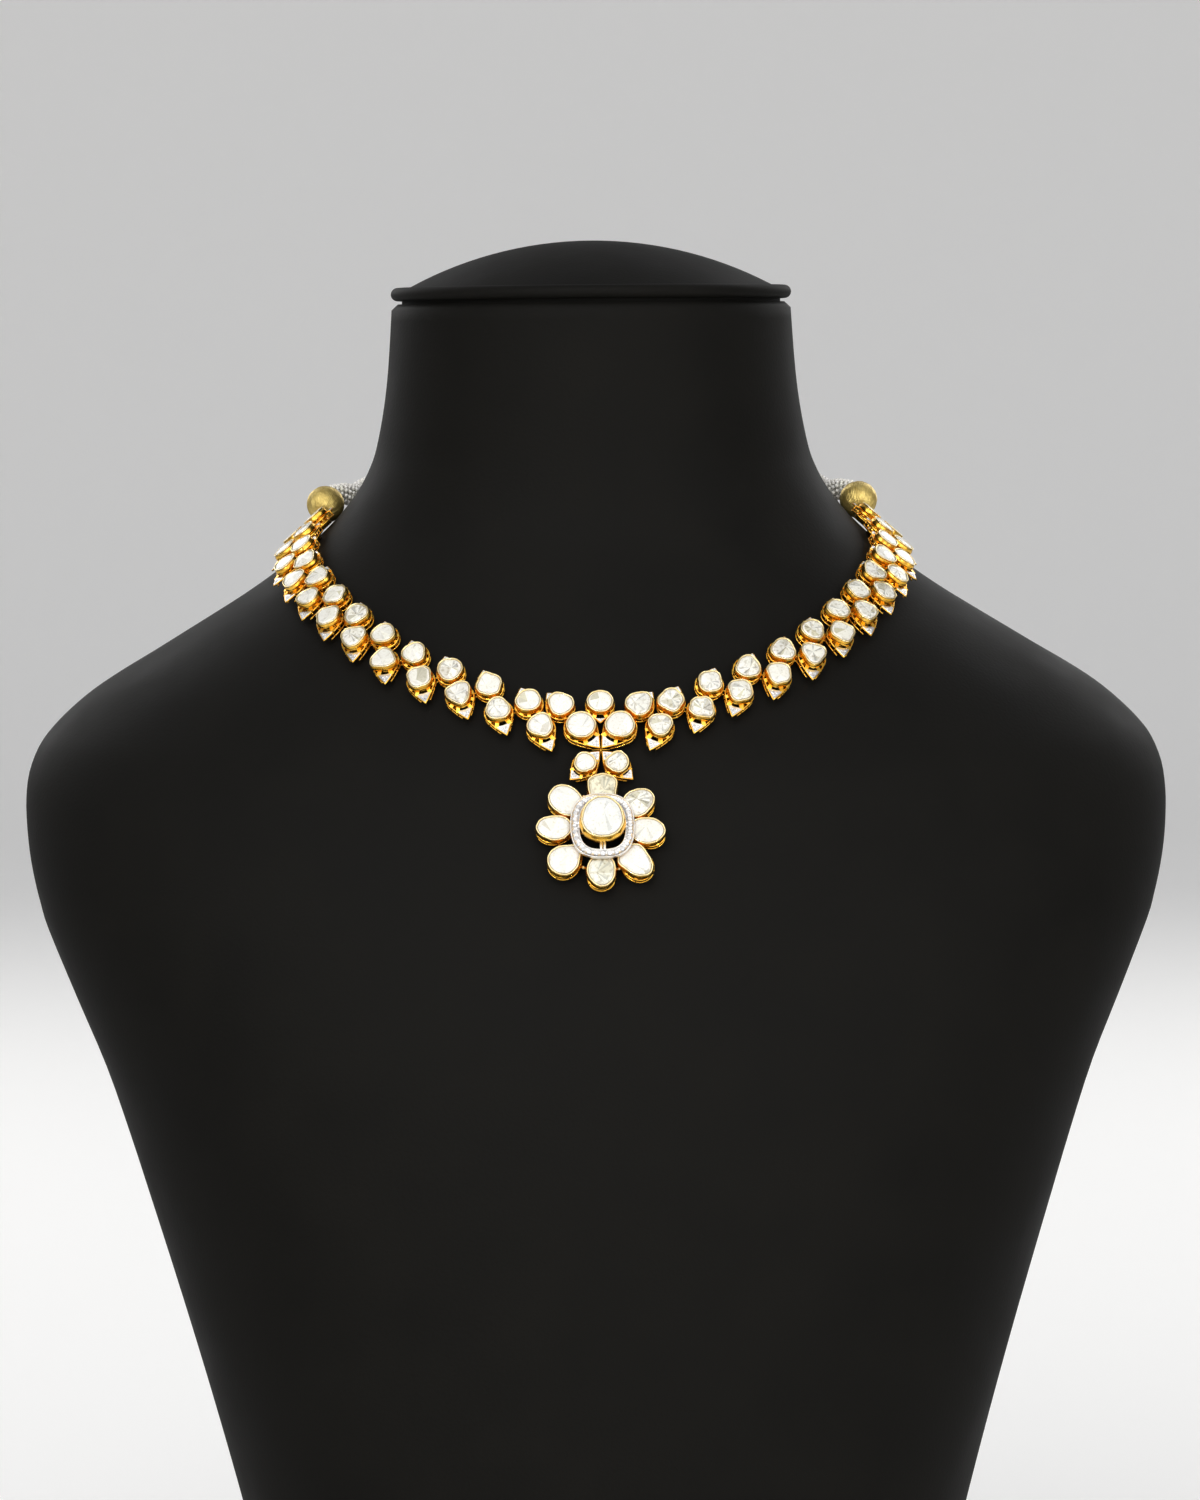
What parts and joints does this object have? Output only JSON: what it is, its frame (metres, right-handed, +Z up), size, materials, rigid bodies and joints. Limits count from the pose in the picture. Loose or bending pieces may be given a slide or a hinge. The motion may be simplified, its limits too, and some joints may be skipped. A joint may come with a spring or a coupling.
{
  "type": "polki necklace on neck bust",
  "caption": "Collar necklace of uncut diamonds in gold drop settings with a flower pendant and a seed pearl rope, worn by a plain black neck bust with a domed cap.",
  "frame": {"origin": "middle of the flat base of the bust, on the surface that it stands on", "axes": "+Z up along the height, chest and pendant face -Y, +X to the right as the viewer in front sees it"},
  "size_m": [0.3088, 0.2065, 0.412],
  "materials": {
    "leatherette": "smooth matt black leatherette",
    "gold": "high polished yellow gold",
    "polki": "foil-backed uncut diamond, milky, flat facets",
    "gold_thread": "wound metallic thread",
    "pearl": "cream seed pearls with a soft lustre"
  },
  "bodies": {
    "root": {"bust_form": "leatherette", "neck_cap": "leatherette", "crest": "gold", "pendant_connector": "gold", "flower_setting": "gold", "link_left_01": "gold", "link_left_02": "gold", "link_left_03": "gold", "link_left_04": "gold", "link_left_05": "gold", "link_left_06": "gold", "link_left_07": "gold", "link_left_08": "gold", "link_left_09": "gold", "link_left_10": "gold", "link_left_11": "gold", "link_left_12": "gold", "link_right_01": "gold", "link_right_02": "gold", "link_right_03": "gold", "link_right_04": "gold", "link_right_05": "gold", "link_right_06": "gold", "link_right_07": "gold", "link_right_08": "gold", "link_right_09": "gold", "link_right_10": "gold", "link_right_11": "gold", "link_right_12": "gold", "polki_petal_1": "polki", "polki_petal_2": "polki", "polki_petal_3": "polki", "polki_petal_4": "polki", "polki_petal_5": "polki", "polki_petal_6": "polki", "polki_petal_7": "polki", "polki_petal_8": "polki", "polki_heart": "polki", "polki_crown": "polki", "polki_crest_left": "polki", "polki_crest_right": "polki", "polki_outer_left": "polki", "polki_outer_right": "polki", "polki_leaf_left": "polki", "polki_leaf_right": "polki", "polki_left_upper": "polki", "polki_left_lower": "polki", "polki_right_upper": "polki", "polki_right_lower": "polki", "jump_rings_left": "gold", "jump_rings_right": "gold", "pendant_rings": "gold", "barrel_clasp": "gold", "zari_bead_left": "gold_thread", "zari_bead_right": "gold_thread", "end_loop_left": "gold_thread", "end_loop_right": "gold_thread", "pearl_rope_left": "pearl", "pearl_rope_right": "pearl"}
  },
  "joints": []
}
